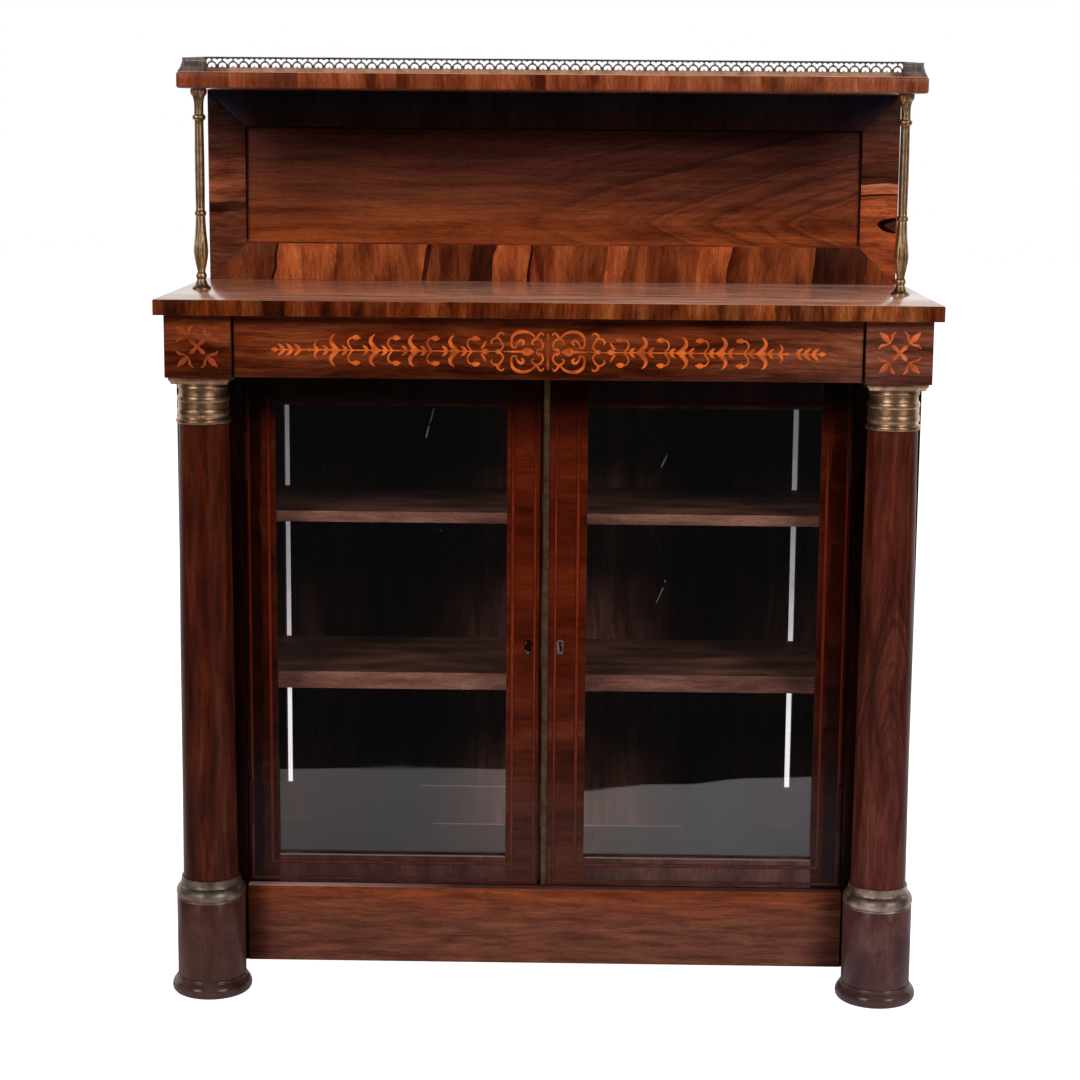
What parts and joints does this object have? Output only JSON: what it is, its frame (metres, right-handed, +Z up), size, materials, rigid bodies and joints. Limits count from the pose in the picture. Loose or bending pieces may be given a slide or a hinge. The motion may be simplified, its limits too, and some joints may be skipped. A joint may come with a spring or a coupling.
{
  "type": "chiffonier",
  "caption": "Chiffonier with free-standing columns, two glazed doors, a frieze drawer and a galleried shelf on brass balusters over the top.",
  "frame": {"origin": "middle of the footprint on the floor", "axes": "+X to the right as seen from the front, +Y from the front to the back, +Z up"},
  "size_m": [1, 0.426, 1.245],
  "materials": {
    "rosewood_top": "french polished, worn gloss",
    "rosewood_frieze": "french polished, inlaid",
    "rosewood_column": "french polished, semi-gloss",
    "rosewood_door": "french polished, crossbanded and strung",
    "rosewood_carcass": "french polished, semi-gloss",
    "rosewood_panel": "french polished, figured",
    "dark_moulding": "ebonised, satin",
    "shelf_wood": "plain, dusty",
    "back_wood": "plain, unpolished",
    "drawer_lining": "plain, waxed",
    "lacquered_brass": "aged, softly polished",
    "dull_brass": "tarnished",
    "lock_steel": "dull",
    "cabinet_glass": "clear, old"
  },
  "bodies": {
    "carcass": {"main_top": "rosewood_top", "gallery_shelf": "rosewood_top", "frieze_block_left": "rosewood_frieze", "frieze_block_right": "rosewood_frieze", "column_shaft_left": "rosewood_column", "column_shaft_right": "rosewood_column", "column_drum_left": "rosewood_column", "column_drum_right": "rosewood_column", "column_feet": "rosewood_column", "pilaster_left": "rosewood_carcass", "pilaster_right": "rosewood_carcass", "side_left": "rosewood_carcass", "side_right": "rosewood_carcass", "plinth_rail": "rosewood_carcass", "back_panel": "rosewood_panel", "back_panel_frame": "rosewood_panel", "back_panel_moulding": "dark_moulding", "upper_shelf": "shelf_wood", "lower_shelf": "shelf_wood", "shelf_bearers": "shelf_wood", "cupboard_floor": "shelf_wood", "dust_board": "shelf_wood", "door_stops": "shelf_wood", "back_frame": "back_wood", "back_boards": "back_wood", "rear_feet": "back_wood", "drawer_guides": "drawer_lining", "abacus_left": "lacquered_brass", "abacus_right": "lacquered_brass", "column_capitals": "lacquered_brass", "baluster_left": "lacquered_brass", "baluster_right": "lacquered_brass", "left_hinge_case_leaves": "lacquered_brass", "right_hinge_case_leaves": "lacquered_brass", "column_base_rings": "dull_brass", "gallery_back": "dull_brass", "gallery_left": "dull_brass", "gallery_right": "dull_brass"},
    "left_door": {"left_door_stiles": "rosewood_door", "left_door_rails": "rosewood_door", "left_door_glass": "cabinet_glass", "left_door_beads": "rosewood_door", "left_escutcheon": "lacquered_brass", "left_hinge_door_leaves": "lacquered_brass", "rod_plates": "lacquered_brass"},
    "right_door": {"right_door_stiles": "rosewood_door", "right_door_rails": "rosewood_door", "right_door_glass": "cabinet_glass", "right_door_beads": "rosewood_door", "right_escutcheon": "lacquered_brass", "right_hinge_door_leaves": "lacquered_brass", "door_astragal": "dull_brass", "lock_case": "lock_steel"},
    "drawer": {"drawer_front": "rosewood_frieze", "drawer_sides": "drawer_lining", "drawer_back": "drawer_lining", "drawer_bottom": "drawer_lining"},
    "lock_bolt": {"lock_bolt": "lock_steel"},
    "top_rod": {"top_rod": "lacquered_brass"},
    "bottom_rod": {"bottom_rod": "lacquered_brass"}
  },
  "joints": [
    {"name": "left_door_hinge", "type": "hinge", "parent": "carcass", "child": "left_door", "pos_m": [-0.399, -0.1018, 0.48], "axis": [0, 0, -1], "range_deg": [0, 90]},
    {"name": "right_door_hinge", "type": "hinge", "parent": "carcass", "child": "right_door", "pos_m": [0.399, -0.1018, 0.48], "axis": [0, 0, 1], "range_deg": [0, 90]},
    {"name": "drawer_slide", "type": "slide", "parent": "carcass", "child": "drawer", "axis": [0, -1, 0], "range_m": [0, 0.24]},
    {"name": "lock_bolt_slide", "type": "slide", "parent": "right_door", "child": "lock_bolt", "axis": [-1, 0, 0], "range_m": [0, 0.013]},
    {"name": "top_rod_slide", "type": "slide", "parent": "left_door", "child": "top_rod", "axis": [0, 0, 1], "range_m": [0, 0.012]},
    {"name": "bottom_rod_slide", "type": "slide", "parent": "left_door", "child": "bottom_rod", "axis": [0, 0, -1], "range_m": [0, 0.012]}
  ]
}
